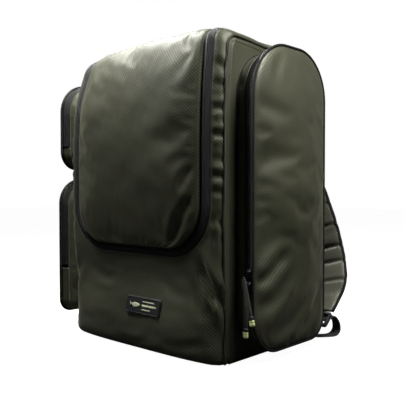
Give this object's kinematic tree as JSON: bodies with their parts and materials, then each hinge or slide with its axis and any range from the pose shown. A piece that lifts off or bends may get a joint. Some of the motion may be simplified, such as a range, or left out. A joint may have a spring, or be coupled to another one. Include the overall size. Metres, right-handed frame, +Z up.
{
  "type": "tackle backpack",
  "caption": "Boxy soft fishing rucksack with a zipped wrap-over front flap, a tall side pocket, stacked side pockets, shoulder straps and a haul loop.",
  "frame": {"origin": "centre of the underside of the main body, on the ground", "axes": "+Z up, +Y towards the wearer's back, +X towards the tall side pocket"},
  "size_m": [0.4864, 0.3441, 0.5101],
  "materials": {
    "body_nylon": "coarse ballistic nylon, dark olive, coated back",
    "flap_nylon": "coarse ballistic nylon over foam, dark olive",
    "zip_tape": "woven polyester zip tape and coil, black",
    "piping": "bound piping, black",
    "zip_metal": "black plated zip slider",
    "pull_tape": "folded tape pull",
    "pull_tip": "soft moulded plastic, pale yellow green",
    "badge_rubber": "moulded soft rubber",
    "webbing": "ribbed polypropylene webbing, black",
    "lock_plastic": "moulded acetal, black",
    "stiffener": "stiff polyethylene sheet",
    "padding": "foam padding in nylon and spacer mesh"
  },
  "bodies": {
    "root": {"base_panel": "body_nylon", "front_panel": "body_nylon", "back_panel": "body_nylon", "top_panel": "body_nylon", "right_side_panel": "body_nylon", "left_side_panel": "body_nylon", "corner_piping_right": "piping", "corner_piping_left": "piping", "base_board": "stiffener", "frame_sheet": "stiffener", "badge": "badge_rubber", "main_zip_body_tape": "zip_tape", "right_pocket_gusset": "body_nylon", "right_pocket_body_tape": "zip_tape", "right_pocket_lower_face": "body_nylon", "right_pocket_lower_piping": "piping", "left_lower_pocket_gusset": "body_nylon", "left_lower_pocket_body_tape": "zip_tape", "left_lower_pocket_lower_face": "body_nylon", "left_upper_pocket_gusset": "body_nylon", "left_upper_pocket_body_tape": "zip_tape", "left_upper_pocket_lower_face": "body_nylon", "shoulder_strap_right": "padding", "shoulder_strap_left": "padding", "ladder_lock_right": "lock_plastic", "ladder_lock_left": "lock_plastic", "lower_webbing_right": "webbing", "lower_webbing_left": "webbing", "webbing_tail_right": "webbing", "webbing_tail_left": "webbing", "upper_back_pad": "padding", "lumbar_pad": "padding"},
    "flap": {"front_flap": "flap_nylon", "main_zip_flap_tape": "zip_tape"},
    "main_front_slider": {"main_zip_front_slider": "zip_metal"},
    "main_front_pull": {"main_zip_front_pull": "pull_tape"},
    "main_rear_slider": {"main_zip_rear_slider": "zip_metal"},
    "main_rear_pull": {"main_zip_rear_pull": "pull_tape"},
    "right_door": {"right_pocket_door": "body_nylon", "right_pocket_door_tape": "zip_tape", "right_pocket_door_piping": "piping"},
    "right_upper_slider": {"right_pocket_upper_slider": "zip_metal"},
    "right_upper_pull": {"right_pocket_upper_pull": "pull_tape", "right_pocket_upper_pull_tip": "pull_tip"},
    "right_lower_slider": {"right_pocket_lower_slider": "zip_metal"},
    "right_lower_pull": {"right_pocket_lower_pull": "pull_tape", "right_pocket_lower_pull_tip": "pull_tip"},
    "left_lower_door": {"left_lower_pocket_door": "body_nylon", "left_lower_pocket_door_tape": "zip_tape", "left_lower_pocket_door_piping": "piping"},
    "left_lower_slider": {"left_lower_pocket_slider": "zip_metal"},
    "left_lower_pull": {"left_lower_pocket_pull": "pull_tape"},
    "left_upper_door": {"left_upper_pocket_door": "body_nylon", "left_upper_pocket_door_tape": "zip_tape", "left_upper_pocket_door_piping": "piping"},
    "left_upper_slider": {"left_upper_pocket_slider": "zip_metal"},
    "left_upper_pull": {"left_upper_pocket_pull": "pull_tape"},
    "haul_loop": {"haul_loop": "webbing"}
  },
  "joints": [
    {"name": "flap_hinge", "type": "hinge", "parent": "root", "child": "flap", "pos_m": [0, 0.086, 0.508], "axis": [-1, 0, 0], "range_deg": [0, 110]},
    {"name": "main_front_slide", "type": "slide", "parent": "flap", "child": "main_front_slider", "axis": [0, -1, 0], "range_m": [0, 0.07]},
    {"name": "main_front_pull_hinge", "type": "hinge", "parent": "main_front_slider", "child": "main_front_pull", "pos_m": [-0.152, -0.004, 0.5086], "axis": [-1, 0, 0], "range_deg": [0, 170]},
    {"name": "main_rear_slide", "type": "slide", "parent": "flap", "child": "main_rear_slider", "axis": [0, 1, 0], "range_m": [0, 0.01]},
    {"name": "main_rear_pull_hinge", "type": "hinge", "parent": "main_rear_slider", "child": "main_rear_pull", "pos_m": [-0.152, 0.028, 0.5086], "axis": [1, 0, 0], "range_deg": [0, 170]},
    {"name": "right_door_hinge", "type": "hinge", "parent": "root", "child": "right_door", "pos_m": [0.226, 0, 0.098], "axis": [0, 1, 0], "range_deg": [0, 90]},
    {"name": "right_upper_slide", "type": "slide", "parent": "root", "child": "right_upper_slider", "axis": [0, 0, 1], "range_m": [0, 0.24]},
    {"name": "right_upper_pull_hinge", "type": "hinge", "parent": "right_upper_slider", "child": "right_upper_pull", "pos_m": [0.20852, -0.10058, 0.135], "axis": [-0.9726, 0.2326, 0], "range_deg": [0, 120]},
    {"name": "right_lower_slide", "type": "slide", "parent": "root", "child": "right_lower_slider", "axis": [0, 0, 1], "range_m": [-0.01, 0]},
    {"name": "right_lower_pull_hinge", "type": "hinge", "parent": "right_lower_slider", "child": "right_lower_pull", "pos_m": [0.20957, -0.09621, 0.117], "axis": [-0.9726, 0.2326, 0], "range_deg": [0, 10]},
    {"name": "left_lower_door_hinge", "type": "hinge", "parent": "root", "child": "left_lower_door", "pos_m": [-0.252, 0, 0.112], "axis": [0, -1, 0], "range_deg": [0, 110]},
    {"name": "left_lower_slide", "type": "slide", "parent": "root", "child": "left_lower_slider", "axis": [0, 0, 1], "range_m": [0, 0.09]},
    {"name": "left_lower_pull_hinge", "type": "hinge", "parent": "left_lower_slider", "child": "left_lower_pull", "pos_m": [-0.23264, 0.10979, 0.124], "axis": [0.9864, -0.1644, 0], "range_deg": [0, 120]},
    {"name": "left_upper_door_hinge", "type": "hinge", "parent": "root", "child": "left_upper_door", "pos_m": [-0.252, 0, 0.345], "axis": [0, -1, 0], "range_deg": [0, 110]},
    {"name": "left_upper_slide", "type": "slide", "parent": "root", "child": "left_upper_slider", "axis": [0, 0, 1], "range_m": [0, 0.045]},
    {"name": "left_upper_pull_hinge", "type": "hinge", "parent": "left_upper_slider", "child": "left_upper_pull", "pos_m": [-0.23242, 0.10525, 0.357], "axis": [0.9816, -0.1909, 0], "range_deg": [0, 120]},
    {"name": "haul_loop_hinge", "type": "hinge", "parent": "root", "child": "haul_loop", "pos_m": [0, 0.122, 0.488], "axis": [1, 0, 0], "range_deg": [0, 170]}
  ]
}
